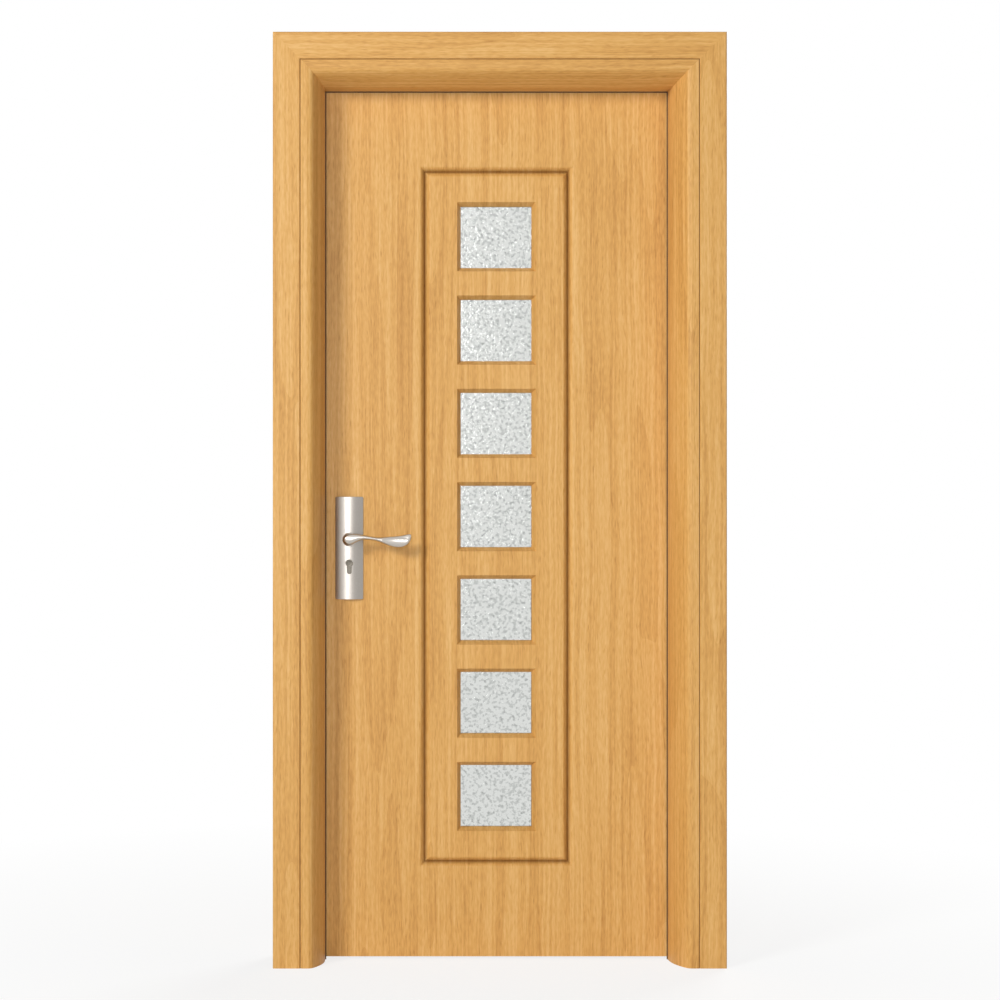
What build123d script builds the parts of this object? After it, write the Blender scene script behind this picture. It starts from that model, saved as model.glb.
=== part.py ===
"""Glazed interior door set: a hinged leaf with a column of small panes, in a moulded frame with casings.

The viewer stands on the -Y side, +X is to the right and +Z is up. The origin lies at floor level on the flat
outer face of the hinge jamb, in the middle of the wall's thickness. The leaf opens towards +Y.
"""

import os
from math import radians, tan

from build123d import *

os.makedirs("parts", exist_ok=True)

# Driving dimensions, in millimetres

# Leaf: two skins on a stile-and-rail core
leaf_width = 800.0
leaf_height = 2000.0
skin_thickness = 12.0
core_thickness = 16.0
stile_width = 110.0
top_rail_height = 120.0
bottom_rail_height = 150.0

# Running gaps round the leaf
hinge_gap = 5.0
lock_gap = 6.5
head_gap = 5.0
floor_gap = 6.0
seal_gap = 5.0

# Moulded line on each skin
groove_width = 26.0
groove_depth = 11.0
groove_flank_angle = 48.0
groove_overcut = 1.0
groove_above_leaf_bottom = 205.0
groove_below_leaf_top = 176.5
groove_side_margin = 61.0
groove_end_margin = 57.5

# Panes and the bevelled beads that hold them
pane_count = 7
window_width = 182.0
window_height = 160.0
bead_bevel = 9.0
bead_land = 3.0
glass_thickness = 6.0
glass_edge_gap = 1.0

# Frame and casings
wall_thickness = 120.0
casing_thickness = 12.0
casing_width = 62.0
casing_round = 4.0
casing_seat = 12.0
casing_relief = 2.0
face_flat = 24.0
reveal_splay = 33.0
reveal_straight = 7.0
reveal_round = 18.0
rebate_width = 11.0
joint_chamfer = 2.4
tongue_thickness = 5.0
tongue_length = 7.0
tongue_end_gap = 0.3
tongue_side_gap = 0.5

# Seal in the stop
kerf_width = 3.5
kerf_depth = 6.0
seal_lip = 2.5
bulb_margin = 3.0
seal_clearance = 0.5

# Butt hinges
hinge_above_leaf_bottom = 230.0
hinge_below_leaf_top = 200.0
hinge_length = 100.0
hinge_plate_depth = 28.0
hinge_plate_thickness = 2.5
knuckle_count = 5
knuckle_radius = 6.0
knuckle_gap = 0.5
barrel_clearance = 0.5
pin_radius = 3.0
pin_clearance = 0.05
pin_head_height = 3.0
pin_head_round = 1.5

# Mortise lock, cylinder and strike
backset = 60.0
spindle_height = 968.0
cylinder_drop = 55.0
case_width = 85.0
case_height = 165.0
case_thickness = 14.0
case_above_spindle = 45.0
faceplate_height = 235.0
faceplate_width = 16.0
faceplate_thickness = 3.0
bolt_proud = 1.0
latch_above_spindle = 18.0
deadbolt_below_spindle = 30.0
latch_height = 18.0
latch_thickness = 12.0
deadbolt_height = 34.0
deadbolt_thickness = 10.0
bolt_length = 30.0
cylinder_radius = 8.5
cylinder_slot_width = 10.0
cylinder_tall = 33.0
cylinder_proud = 1.5
cylinder_clearance = 0.5
keyway_width = 2.0
keyway_height = 9.0
keyway_depth = 6.0
strike_height = 180.0
strike_width = 25.0
strike_thickness = 2.0
strike_corner_round = 4.0
strike_pocket_depth = 16.0
strike_hole_margin = 2.0

# Lever handles on long plates
plate_width = 64.0
plate_height = 236.0
plate_edge = 2.0
plate_bow = 7.0
plate_corner_round = 3.0
plate_above_spindle = 98.0
spindle_side = 8.0
spindle_bore = 24.0
journal_radius = 10.0
journal_clearance = 0.4
hub_radius = 16.0
hub_clearance = 0.4
neck_radius = 9.0
neck_length = 32.0
hub_lip = 3.0
hub_flare = 12.0
journal_inset = 1.0
socket_depth = 24.0
follower_clearance = 0.5
scoop_along = 108.0
scoop_rise = -0.8
scoop_half_length = 36.0
scoop_radius = 16.0
scoop_end_radius = 11.0
scoop_depth = 3.0

# Lever arm: distance from the spindle, rise, half height and half depth at each station
arm_stations = (
    (-14.0, 0.0, 3.5, 3.0),
    (-9.0, 0.2, 9.6, 6.8),
    (3.0, 1.4, 12.4, 9.0),
    (19.0, 4.6, 8.4, 8.6),
    (37.0, 5.2, 4.8, 8.0),
    (56.0, 2.6, 4.0, 7.4),
    (79.0, -1.6, 7.6, 6.7),
    (103.0, -4.4, 12.2, 6.0),
    (124.0, -2.6, 12.8, 5.3),
    (136.5, 3.2, 9.6, 4.4),
    (141.0, 7.2, 4.0, 2.0),
)

# Derived places

leaf_thickness = 2 * skin_thickness + core_thickness
jamb_width = face_flat + reveal_splay
front_y = -wall_thickness / 2 - casing_thickness
back_y = -front_y
leaf_back_y = back_y
leaf_front_y = back_y - leaf_thickness
leaf_mid_y = (leaf_front_y + leaf_back_y) / 2
shoulder_y = leaf_front_y - seal_gap

hinge_stop_x = -jamb_width
hinge_rebate_x = hinge_stop_x + rebate_width
leaf_hinge_x = hinge_rebate_x - hinge_gap
leaf_lock_x = leaf_hinge_x - leaf_width
lock_rebate_x = leaf_lock_x - lock_gap
lock_stop_x = lock_rebate_x + rebate_width
lock_wall_x = lock_stop_x - jamb_width
leaf_mid_x = (leaf_hinge_x + leaf_lock_x) / 2

leaf_bottom_z = floor_gap
leaf_top_z = leaf_bottom_z + leaf_height
leaf_mid_z = (leaf_bottom_z + leaf_top_z) / 2
head_stop_z = leaf_top_z + head_gap - rebate_width
outer_height = head_stop_z + jamb_width + casing_width

panel_width = window_width + 2 * groove_side_margin
panel_height = leaf_height - groove_above_leaf_bottom - groove_below_leaf_top - 2 * groove_width
panel_mid_z = leaf_bottom_z + groove_above_leaf_bottom + groove_width + panel_height / 2
pane_pitch = (panel_height - 2 * groove_end_margin - window_height) / (pane_count - 1)
pane_rises = [(index - (pane_count - 1) / 2) * pane_pitch for index in range(pane_count)]

spindle_x = leaf_lock_x + backset
cylinder_z = spindle_height - cylinder_drop
plate_thickness = plate_edge + plate_bow
plate_mid_z = spindle_height + plate_above_spindle - plate_height / 2
case_reach = faceplate_thickness + case_width
case_mid_z = spindle_height + case_above_spindle - case_height / 2
latch_z = spindle_height + latch_above_spindle
deadbolt_z = spindle_height - deadbolt_below_spindle

pin_x = (hinge_rebate_x + leaf_hinge_x) / 2
pin_y = leaf_back_y + knuckle_radius + barrel_clearance
bottom_hinge_z = leaf_bottom_z + hinge_above_leaf_bottom
top_hinge_z = leaf_top_z - hinge_below_leaf_top
hinge_heights = (bottom_hinge_z, (bottom_hinge_z + top_hinge_z) / 2, top_hinge_z)

# Planes shared by several pieces

hinge_section = Plane(origin=(hinge_stop_x, 0, 0), x_dir=(1, 0, 0), z_dir=(0, 0, 1))
lock_section = Plane(origin=(lock_stop_x, 0, 0), x_dir=(-1, 0, 0), z_dir=(0, 0, -1))
head_section = Plane(origin=(casing_width, 0, head_stop_z), x_dir=(0, 0, 1), z_dir=(-1, 0, 0))
hinge_mitre = Plane(origin=(hinge_stop_x, 0, head_stop_z), z_dir=(-1, 0, 1))
lock_mitre = Plane(origin=(lock_stop_x, 0, head_stop_z), z_dir=(1, 0, 1))
leaf_mid_plane = Plane.XZ.offset(-leaf_mid_y)
head_length = 2 * casing_width - lock_wall_x


def save(builder, name):
    """Labels a finished piece and writes it as its own file."""
    builder.part.label = name
    export_step(builder.part, f"parts/{name}.step")


def leaf_plane(y, z):
    """A plane parallel to the leaf's faces, centred on the leaf's width, facing the viewer."""
    return Plane(origin=(leaf_mid_x, y, z), x_dir=(1, 0, 0), z_dir=(0, -1, 0))


# Frame: moulded jambs with a stop, mitred at the head


def jamb_profile():
    """Jamb outline: local x runs outwards from the stop's edge and local y through the wall."""
    wall_y = wall_thickness / 2
    groove_x = jamb_width - tongue_length
    kerf_left = (rebate_width - kerf_width) / 2
    kerf_right = kerf_left + kerf_width
    with BuildLine() as outline:
        TangentArc((0, shoulder_y - reveal_straight), (reveal_splay, front_y), tangent=(0, -1))
        Polyline(
            (reveal_splay, front_y),
            (jamb_width - joint_chamfer, front_y),
            (jamb_width, front_y + joint_chamfer),
            (jamb_width, -wall_y - tongue_thickness),
            (groove_x, -wall_y - tongue_thickness),
            (groove_x, tongue_side_gap - wall_y),
            (jamb_width, tongue_side_gap - wall_y),
            (jamb_width, wall_y - tongue_side_gap),
            (groove_x, wall_y - tongue_side_gap),
            (groove_x, wall_y + tongue_thickness),
            (jamb_width, wall_y + tongue_thickness),
            (jamb_width, back_y - joint_chamfer),
            (jamb_width - joint_chamfer, back_y),
            (rebate_width + joint_chamfer, back_y),
            (rebate_width, back_y - joint_chamfer),
            (rebate_width, shoulder_y),
            (kerf_right, shoulder_y),
            (kerf_right, shoulder_y - kerf_depth),
            (kerf_left, shoulder_y - kerf_depth),
            (kerf_left, shoulder_y),
            (0, shoulder_y),
            (0, shoulder_y - reveal_straight),
        )
    make_face(outline.edges())


def round_reveal(sketch):
    """Softens the corner between the jamb's flat face and its curved reveal."""
    corner = sketch.vertices().sort_by_distance((reveal_splay, front_y, 0))[0]
    fillet(corner, radius=reveal_round)


with BuildPart() as hinge_jamb:
    with BuildSketch(hinge_section) as section:
        jamb_profile()
        round_reveal(section)
    extrude(amount=outer_height)
    split(bisect_by=hinge_mitre, keep=Keep.BOTTOM)
    with BuildSketch(Plane.YZ.offset(hinge_rebate_x)):
        for height in hinge_heights:
            with Locations((leaf_back_y - hinge_plate_depth / 2, height)):
                Rectangle(hinge_plate_depth, hinge_length)
    extrude(amount=hinge_plate_thickness, mode=Mode.SUBTRACT)
save(hinge_jamb, "hinge_jamb")


def strike_recess():
    """Outline of the strike plate on the lock jamb's rebate face."""
    with Locations((leaf_mid_y, case_mid_z)):
        RectangleRounded(strike_width, strike_height, strike_corner_round)


def strike_holes():
    """Outlines of the holes that take the latch and the dead bolt."""
    with Locations((leaf_mid_y, latch_z)):
        Rectangle(latch_thickness + 2 * strike_hole_margin, latch_height + 2 * strike_hole_margin)
    with Locations((leaf_mid_y, deadbolt_z)):
        Rectangle(deadbolt_thickness + 2 * strike_hole_margin, deadbolt_height + 2 * strike_hole_margin)


lock_rebate_plane = Plane.YZ.offset(lock_rebate_x)

with BuildPart() as lock_jamb:
    with BuildSketch(lock_section) as section:
        jamb_profile()
        round_reveal(section)
    extrude(amount=-outer_height)
    split(bisect_by=lock_mitre, keep=Keep.BOTTOM)
    with BuildSketch(lock_rebate_plane):
        strike_recess()
    extrude(amount=-strike_thickness, mode=Mode.SUBTRACT)
    with BuildSketch(lock_rebate_plane):
        strike_holes()
    extrude(amount=-strike_pocket_depth, mode=Mode.SUBTRACT)
save(lock_jamb, "lock_jamb")

with BuildPart() as strike_plate:
    with BuildSketch(lock_rebate_plane):
        strike_recess()
    extrude(amount=-strike_thickness)
    with BuildSketch(lock_rebate_plane):
        strike_holes()
    extrude(amount=-strike_thickness, mode=Mode.SUBTRACT)
save(strike_plate, "strike_plate")

with BuildPart() as head_jamb:
    with BuildSketch(head_section) as section:
        jamb_profile()
        round_reveal(section)
    extrude(amount=head_length)
    split(bisect_by=hinge_mitre, keep=Keep.TOP)
    split(bisect_by=lock_mitre, keep=Keep.TOP)
save(head_jamb, "head_jamb")

# Casings: flat boards with a rounded outer edge, a relieved back and a tongue into the jamb


def casing_profile(side):
    """Casing outline on the front (side -1) or the back (side 1), in the jamb's local axes."""
    outer_x = jamb_width + casing_width
    tongue_x = jamb_width - tongue_length + tongue_end_gap
    wall_y = side * wall_thickness / 2
    tongue_y = side * (wall_thickness / 2 + tongue_thickness)
    face_y = side * back_y
    with BuildLine() as outline:
        RadiusArc(
            (outer_x - casing_round, face_y),
            (outer_x, face_y - side * casing_round),
            side * casing_round,
        )
        Polyline(
            (outer_x, face_y - side * casing_round),
            (outer_x, wall_y),
            (outer_x - casing_seat, wall_y),
            (outer_x - casing_seat, wall_y + side * casing_relief),
            (jamb_width + casing_seat, wall_y + side * casing_relief),
            (jamb_width + casing_seat, wall_y),
            (tongue_x, wall_y),
            (tongue_x, tongue_y),
            (jamb_width, tongue_y),
            (jamb_width, face_y - side * joint_chamfer),
            (jamb_width + joint_chamfer, face_y),
            (outer_x - casing_round, face_y),
        )
    make_face(outline.edges())


for face_name, side in (("front", -1), ("back", 1)):
    with BuildPart() as hinge_casing:
        with BuildSketch(hinge_section):
            casing_profile(side)
        extrude(amount=outer_height)
        split(bisect_by=hinge_mitre, keep=Keep.BOTTOM)
    save(hinge_casing, f"{face_name}_hinge_casing")

    with BuildPart() as lock_casing:
        with BuildSketch(lock_section):
            casing_profile(side)
        extrude(amount=-outer_height)
        split(bisect_by=lock_mitre, keep=Keep.BOTTOM)
    save(lock_casing, f"{face_name}_lock_casing")

    with BuildPart() as head_casing:
        with BuildSketch(head_section):
            casing_profile(side)
        extrude(amount=head_length)
        split(bisect_by=hinge_mitre, keep=Keep.TOP)
        split(bisect_by=lock_mitre, keep=Keep.TOP)
    save(head_casing, f"{face_name}_head_casing")

# Rubber seals in the stop's kerf


def seal_profile():
    """Seal outline in the jamb's local axes: a stem in the kerf and a bulb whose lip shows past the stop."""
    middle = rebate_width / 2
    bulb_end = middle + kerf_width / 2 + bulb_margin
    bulb_top = leaf_front_y - seal_clearance
    with BuildLine() as outline:
        ThreePointArc(
            (-seal_lip, shoulder_y),
            ((bulb_end - seal_lip) / 2, bulb_top),
            (bulb_end, shoulder_y),
        )
        Polyline(
            (bulb_end, shoulder_y),
            (middle + kerf_width / 2, shoulder_y),
            (middle + kerf_width / 2, shoulder_y - kerf_depth),
            (middle - kerf_width / 2, shoulder_y - kerf_depth),
            (middle - kerf_width / 2, shoulder_y),
            (-seal_lip, shoulder_y),
        )
    make_face(outline.edges())


with BuildPart() as hinge_seal:
    with BuildSketch(hinge_section):
        seal_profile()
    extrude(amount=outer_height)
    split(bisect_by=hinge_mitre, keep=Keep.BOTTOM)
save(hinge_seal, "hinge_seal")

with BuildPart() as lock_seal:
    with BuildSketch(lock_section):
        seal_profile()
    extrude(amount=-outer_height)
    split(bisect_by=lock_mitre, keep=Keep.BOTTOM)
save(lock_seal, "lock_seal")

with BuildPart() as head_seal:
    with BuildSketch(head_section):
        seal_profile()
    extrude(amount=head_length)
    split(bisect_by=hinge_mitre, keep=Keep.TOP)
    split(bisect_by=lock_mitre, keep=Keep.TOP)
save(head_seal, "head_seal")

# Butt hinges: a fixed plate, a moving plate and a pin for each


def hinge_plate(x_face, inward, height, first_knuckle):
    """One hinge plate: its sheet lies in a recess and every second knuckle stands round the pin."""
    knuckle_pitch = hinge_length / knuckle_count
    sheet_x = x_face + inward * hinge_plate_thickness / 2
    barrel_gap = knuckle_radius + barrel_clearance
    with Locations((sheet_x, leaf_back_y - hinge_plate_depth / 2, height)):
        Box(hinge_plate_thickness, hinge_plate_depth, hinge_length)
    for index in range(first_knuckle, knuckle_count, 2):
        knuckle_z = height + (knuckle_pitch - hinge_length) / 2 + index * knuckle_pitch
        with Locations((sheet_x, leaf_back_y + barrel_gap / 2, knuckle_z)):
            Box(hinge_plate_thickness, barrel_gap, knuckle_pitch - knuckle_gap)
        with Locations((pin_x, pin_y, knuckle_z)):
            Cylinder(knuckle_radius, knuckle_pitch - knuckle_gap)
    with Locations((pin_x, pin_y, height)):
        Cylinder(pin_radius + pin_clearance, hinge_length, mode=Mode.SUBTRACT)


for place, height in zip(("bottom", "middle", "top"), hinge_heights):
    with BuildPart() as frame_plate:
        hinge_plate(hinge_rebate_x, 1, height, 0)
    save(frame_plate, f"{place}_hinge_frame_plate")

    with BuildPart() as leaf_plate:
        hinge_plate(leaf_hinge_x, -1, height, 1)
    save(leaf_plate, f"{place}_hinge_leaf_plate")

with BuildPart() as hinge_pin:
    Cylinder(pin_radius, hinge_length)
    head_z = (hinge_length + pin_head_height) / 2
    with Locations((0, 0, -head_z), (0, 0, head_z)):
        Cylinder(knuckle_radius - barrel_clearance, pin_head_height)
    rims = hinge_pin.edges().filter_by(GeomType.CIRCLE).group_by(Axis.Z)
    fillet(rims[0] + rims[-1], radius=pin_head_round)

with BuildPart() as hinge_pins:
    with Locations(*[(pin_x, pin_y, height) for height in hinge_heights]):
        add(hinge_pin.part)
save(hinge_pins, "hinge_pins")

# Leaf core: stiles, rails and a middle panel pierced by the windows


def hinge_recesses():
    """Recesses for the moving hinge plates in the leaf's hinge edge."""
    with BuildSketch(Plane.YZ.offset(leaf_hinge_x)) as recesses:
        for height in hinge_heights:
            with Locations((leaf_back_y - hinge_plate_depth / 2, height)):
                Rectangle(hinge_plate_depth, hinge_length)
    extrude(recesses.sketch, amount=-hinge_plate_thickness, mode=Mode.SUBTRACT)


def cylinder_profile(clearance):
    """Keyhole-shaped outline of the lock cylinder, its round top at the middle of the plug."""
    straight = cylinder_tall - cylinder_radius - cylinder_slot_width / 2
    with Locations((0, cylinder_z)):
        Circle(cylinder_radius + clearance)
    with Locations((0, cylinder_z - straight / 2)):
        Rectangle(cylinder_slot_width + 2 * clearance, straight)
    with Locations((0, cylinder_z - straight)):
        Circle(cylinder_slot_width / 2 + clearance)


def handle_plane(y):
    """A plane facing the viewer whose local x starts at the spindle and local y at the floor."""
    return Plane(origin=(spindle_x, y, 0), x_dir=(1, 0, 0), z_dir=(0, -1, 0))


def handle_bores():
    """Cuts the spindle bore and the cylinder slot through the leaf's thickness."""
    with BuildSketch(handle_plane(leaf_front_y)) as bores:
        with Locations((0, spindle_height)):
            Circle(spindle_bore / 2)
        cylinder_profile(cylinder_clearance)
    extrude(bores.sketch, amount=-leaf_thickness, mode=Mode.SUBTRACT)


core_front_y = leaf_front_y + skin_thickness
rail_width = leaf_width - 2 * stile_width

with BuildPart() as lock_stile:
    with Locations((leaf_lock_x + stile_width / 2, leaf_mid_y, leaf_mid_z)):
        Box(stile_width, core_thickness, leaf_height)
    with Locations((leaf_lock_x + case_reach / 2, leaf_mid_y, case_mid_z)):
        Box(case_reach, case_thickness, case_height, mode=Mode.SUBTRACT)
    with Locations((leaf_lock_x + faceplate_thickness / 2, leaf_mid_y, case_mid_z)):
        Box(faceplate_thickness, faceplate_width, faceplate_height, mode=Mode.SUBTRACT)
    handle_bores()
save(lock_stile, "lock_stile")

with BuildPart() as hinge_stile:
    with Locations((leaf_hinge_x - stile_width / 2, leaf_mid_y, leaf_mid_z)):
        Box(stile_width, core_thickness, leaf_height)
    hinge_recesses()
save(hinge_stile, "hinge_stile")

with BuildPart() as top_rail:
    with Locations((leaf_mid_x, leaf_mid_y, leaf_top_z - top_rail_height / 2)):
        Box(rail_width, core_thickness, top_rail_height)
save(top_rail, "top_rail")

with BuildPart() as bottom_rail:
    with Locations((leaf_mid_x, leaf_mid_y, leaf_bottom_z + bottom_rail_height / 2)):
        Box(rail_width, core_thickness, bottom_rail_height)
save(bottom_rail, "bottom_rail")


def windows():
    """Removes the window openings from a panel sketched round the middle of the panes."""
    with GridLocations(0, pane_pitch, 1, pane_count):
        Rectangle(window_width, window_height, mode=Mode.SUBTRACT)


core_panel_height = leaf_height - top_rail_height - bottom_rail_height
core_panel_mid_z = leaf_bottom_z + bottom_rail_height + core_panel_height / 2

with BuildPart() as core_panel:
    with BuildSketch(leaf_plane(core_front_y, panel_mid_z)):
        with Locations((0, core_panel_mid_z - panel_mid_z)):
            Rectangle(rail_width, core_panel_height)
        windows()
    extrude(amount=-core_thickness)
save(core_panel, "core_panel")

# Skins: boards with a moulded line round the panes


def skin():
    """The front skin: a board with windows, handle bores and the moulded line."""
    with BuildSketch(leaf_plane(leaf_front_y, panel_mid_z)) as board:
        with Locations((0, leaf_mid_z - panel_mid_z)):
            Rectangle(leaf_width, leaf_height)
        windows()
    extrude(board.sketch, amount=-skin_thickness)
    add(groove.part, mode=Mode.SUBTRACT)
    handle_bores()


# The moulded line: rounded shoulders run down into a straight-sided V, swept round the panes
groove_half = groove_width / 2
flank_slope = tan(radians(groove_flank_angle))
shoulder_slope = tan(radians(groove_flank_angle) / 2)
flank_half = (groove_depth - groove_half * shoulder_slope) / (flank_slope - shoulder_slope)
flank_top = flank_half * flank_slope - groove_depth
path_half_width = (panel_width + groove_width) / 2
path_half_height = (panel_height + groove_width) / 2
groove_start = (leaf_mid_x, leaf_front_y, panel_mid_z - path_half_height)

with BuildPart() as groove:
    with BuildLine(leaf_plane(leaf_front_y, panel_mid_z)) as groove_path:
        Polyline(
            (0, -path_half_height),
            (path_half_width, -path_half_height),
            (path_half_width, path_half_height),
            (-path_half_width, path_half_height),
            (-path_half_width, -path_half_height),
            close=False,
        )
        Line((-path_half_width, -path_half_height), (0, -path_half_height))
    with BuildSketch(Plane(origin=groove_start, x_dir=(0, 0, 1), z_dir=(1, 0, 0))):
        with BuildLine():
            TangentArc((-groove_half, 0), (-flank_half, flank_top), tangent=(1, 0))
            Polyline((-flank_half, flank_top), (0, -groove_depth), (flank_half, flank_top))
            TangentArc((groove_half, 0), (flank_half, flank_top), tangent=(-1, 0))
            Polyline(
                (groove_half, 0),
                (groove_half, groove_overcut),
                (-groove_half, groove_overcut),
                (-groove_half, 0),
            )
        make_face()
    sweep(path=groove_path.wire(), transition=Transition.RIGHT)

with BuildPart() as front_skin:
    skin()
save(front_skin, "front_skin")

with BuildPart() as back_skin:
    mirror(objects=front_skin.part, about=leaf_mid_plane)
    hinge_recesses()
save(back_skin, "back_skin")

# Panes and the bevelled beads that hold them

bead_depth = (leaf_thickness - glass_thickness) / 2
glass_front_y = leaf_front_y + bead_depth
lit_width = window_width - 2 * bead_bevel
lit_height = window_height - 2 * bead_bevel

with BuildPart() as bevel_cut:
    with BuildSketch(leaf_plane(leaf_front_y, panel_mid_z)):
        Rectangle(window_width, window_height)
    with BuildSketch(leaf_plane(glass_front_y - bead_land, panel_mid_z)):
        Rectangle(lit_width, lit_height)
    loft(ruled=True)

with BuildPart() as bead:
    with BuildSketch(leaf_plane(leaf_front_y, panel_mid_z)):
        Rectangle(window_width, window_height)
        Rectangle(lit_width, lit_height, mode=Mode.SUBTRACT)
    extrude(amount=-bead_depth)
    add(bevel_cut.part, mode=Mode.SUBTRACT)

with BuildPart() as front_beads:
    with Locations(*[(0, 0, rise) for rise in pane_rises]):
        add(bead.part)
save(front_beads, "front_beads")

with BuildPart() as back_beads:
    mirror(objects=front_beads.part, about=leaf_mid_plane)
save(back_beads, "back_beads")

for number, rise in enumerate(pane_rises, start=1):
    with BuildPart() as pane:
        with Locations((leaf_mid_x, leaf_mid_y, panel_mid_z + rise)):
            Box(window_width - 2 * glass_edge_gap, glass_thickness, window_height - 2 * glass_edge_gap)
    save(pane, f"pane_{number}")

# Mortise lock in the lock stile, with its bolts drawn in

with BuildPart() as mortise_lock:
    with Locations((leaf_lock_x + (faceplate_thickness + case_reach) / 2, leaf_mid_y, case_mid_z)):
        Box(case_reach - faceplate_thickness, case_thickness, case_height)
    with Locations((leaf_lock_x + faceplate_thickness / 2, leaf_mid_y, case_mid_z)):
        Box(faceplate_thickness, faceplate_width, faceplate_height)
    with Locations((leaf_lock_x + bolt_length / 2, leaf_mid_y, latch_z)):
        Box(bolt_length, latch_thickness, latch_height, mode=Mode.SUBTRACT)
    with Locations((leaf_lock_x + bolt_length / 2, leaf_mid_y, deadbolt_z)):
        Box(bolt_length, deadbolt_thickness, deadbolt_height, mode=Mode.SUBTRACT)
    handle_bores()
save(mortise_lock, "mortise_lock")

with BuildPart() as latch_bolt:
    with Locations((leaf_lock_x + (bolt_length - bolt_proud) / 2, leaf_mid_y, latch_z)):
        Box(bolt_length + bolt_proud, latch_thickness, latch_height)
save(latch_bolt, "latch_bolt")

with BuildPart() as dead_bolt:
    with Locations((leaf_lock_x + (bolt_length - bolt_proud) / 2, leaf_mid_y, deadbolt_z)):
        Box(bolt_length + bolt_proud, deadbolt_thickness, deadbolt_height)
save(dead_bolt, "dead_bolt")

with BuildPart() as lock_cylinder:
    with BuildSketch(handle_plane(leaf_front_y - plate_thickness - cylinder_proud)):
        cylinder_profile(0)
    extrude(amount=-(leaf_thickness + 2 * (plate_thickness + cylinder_proud)))
    for end in (-1, 1):
        face_y = leaf_mid_y + end * (leaf_thickness / 2 + plate_thickness + cylinder_proud)
        with Locations((spindle_x, face_y, cylinder_z)):
            Box(keyway_width, 2 * keyway_depth, keyway_height, mode=Mode.SUBTRACT)
save(lock_cylinder, "lock_cylinder")

# Handle plates: bowed across their width, with a bore for the lever and a slot for the cylinder

plate_bottom = (spindle_x, leaf_front_y, plate_mid_z - plate_height / 2)

with BuildPart() as front_handle_plate:
    with BuildSketch(Plane(origin=plate_bottom, z_dir=(0, 0, 1))):
        with BuildLine():
            Polyline(
                (plate_width / 2, -plate_edge),
                (plate_width / 2, 0),
                (-plate_width / 2, 0),
                (-plate_width / 2, -plate_edge),
            )
            ThreePointArc(
                (-plate_width / 2, -plate_edge),
                (0, -plate_thickness),
                (plate_width / 2, -plate_edge),
            )
        make_face()
    extrude(amount=plate_height)
    fillet(front_handle_plate.edges().filter_by(Axis.Y), radius=plate_corner_round)
    with BuildSketch(handle_plane(leaf_front_y)):
        with Locations((0, spindle_height)):
            Circle(journal_radius + journal_clearance)
        cylinder_profile(cylinder_clearance)
    extrude(amount=plate_thickness, mode=Mode.SUBTRACT)
save(front_handle_plate, "front_handle_plate")

with BuildPart() as back_handle_plate:
    mirror(objects=front_handle_plate.part, about=leaf_mid_plane)
save(back_handle_plate, "back_handle_plate")

# Lever handles: a flared hub on a journal and a wave-shaped arm that widens to a paddle

hub_out = plate_thickness + hub_clearance
arm_out = hub_out + neck_length
arm_y = leaf_front_y - arm_out

# The hollow in the paddle's front, cut by a barrel that lies along the arm
paddle_depths = [
    half_depth for along, rise, half_height, half_depth in arm_stations if along >= scoop_along
]
scoop_y = arm_y - max(paddle_depths) - scoop_radius + scoop_depth
scoop_z = spindle_height + scoop_rise

with BuildPart() as scoop:
    with BuildSketch(Plane(origin=(spindle_x + scoop_along, scoop_y, scoop_z), z_dir=(0, 0, 1))):
        with BuildLine():
            Polyline(
                (scoop_half_length, scoop_end_radius),
                (scoop_half_length, 0),
                (-scoop_half_length, 0),
                (-scoop_half_length, scoop_end_radius),
            )
            ThreePointArc(
                (-scoop_half_length, scoop_end_radius),
                (0, scoop_radius),
                (scoop_half_length, scoop_end_radius),
            )
        make_face()
    revolve(axis=Axis((spindle_x + scoop_along, scoop_y, scoop_z), (1, 0, 0)))

with BuildPart() as front_lever:
    with BuildSketch(Plane(origin=(spindle_x, leaf_front_y, spindle_height), z_dir=(0, 0, 1))):
        with BuildLine():
            Polyline(
                (neck_radius, -hub_out - hub_lip - hub_flare),
                (neck_radius, -arm_out),
                (0, -arm_out),
                (0, -journal_inset),
                (journal_radius, -journal_inset),
                (journal_radius, -hub_out),
                (hub_radius, -hub_out),
                (hub_radius, -hub_out - hub_lip),
            )
            TangentArc(
                (neck_radius, -hub_out - hub_lip - hub_flare),
                (hub_radius, -hub_out - hub_lip),
                tangent=(0, 1),
            )
        make_face()
    revolve(axis=Axis((spindle_x, 0, spindle_height), (0, 1, 0)))
    with Locations((spindle_x, arm_y, spindle_height)):
        Sphere(neck_radius)
    for along, rise, half_height, half_depth in arm_stations:
        station = Plane(
            origin=(spindle_x + along, arm_y, spindle_height + rise), x_dir=(0, 1, 0), z_dir=(1, 0, 0)
        )
        with BuildSketch(station):
            Ellipse(half_depth, half_height)
    loft()
    add(scoop.part, mode=Mode.SUBTRACT)
    with Locations((spindle_x, leaf_front_y - socket_depth / 2, spindle_height)):
        Box(spindle_side, socket_depth, spindle_side, mode=Mode.SUBTRACT)
save(front_lever, "front_lever")

with BuildPart() as back_lever:
    mirror(objects=front_lever.part, about=leaf_mid_plane)
save(back_lever, "back_lever")

with BuildPart() as spindle:
    with Locations((spindle_x, leaf_mid_y, spindle_height)):
        Box(spindle_side, leaf_thickness + 2 * socket_depth, spindle_side)
    with Locations(Location((spindle_x, leaf_mid_y, spindle_height), (90, 0, 0))):
        Cylinder(spindle_bore / 2 - follower_clearance, case_thickness)
save(spindle, "spindle")
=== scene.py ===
# %% [markdown]
# A glazed interior door: an oak film leaf with a column of seven small panes, in a moulded frame.
# The solids of the door are already made and packed, so this script loads them as a fixed frame.
# It then gives every piece its finish, models what the solids leave out, and sets light and camera.

from math import pi

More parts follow.
